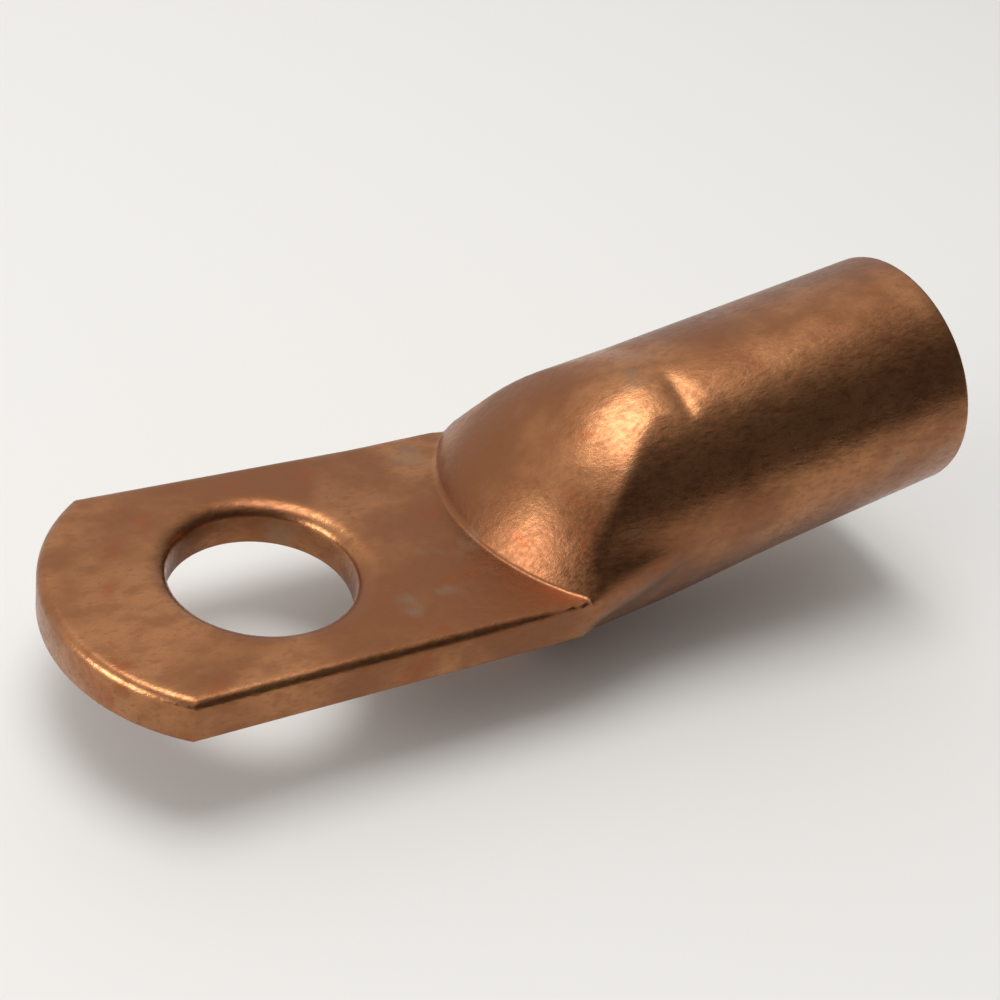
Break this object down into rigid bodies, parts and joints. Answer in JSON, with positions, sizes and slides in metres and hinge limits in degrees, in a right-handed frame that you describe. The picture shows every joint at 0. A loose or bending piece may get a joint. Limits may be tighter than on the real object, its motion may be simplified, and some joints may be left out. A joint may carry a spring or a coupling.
{
  "type": "cable lug",
  "caption": "Tubular copper cable lug with a round open barrel pressed into a flat palm with a bolt hole and an arc-cut tip.",
  "frame": {"origin": "centre of the bolt hole, on the palm's underside", "axes": "+X from the palm's tip towards the barrel, +Y across the palm, +Z along the bolt hole, up out of the palm"},
  "size_m": [0.0475, 0.0144, 0.0176],
  "materials": {
    "copper": "satin bare copper, tumbled, with light handling tarnish"
  },
  "bodies": {
    "root": {"cable_lug": "copper"}
  },
  "joints": []
}
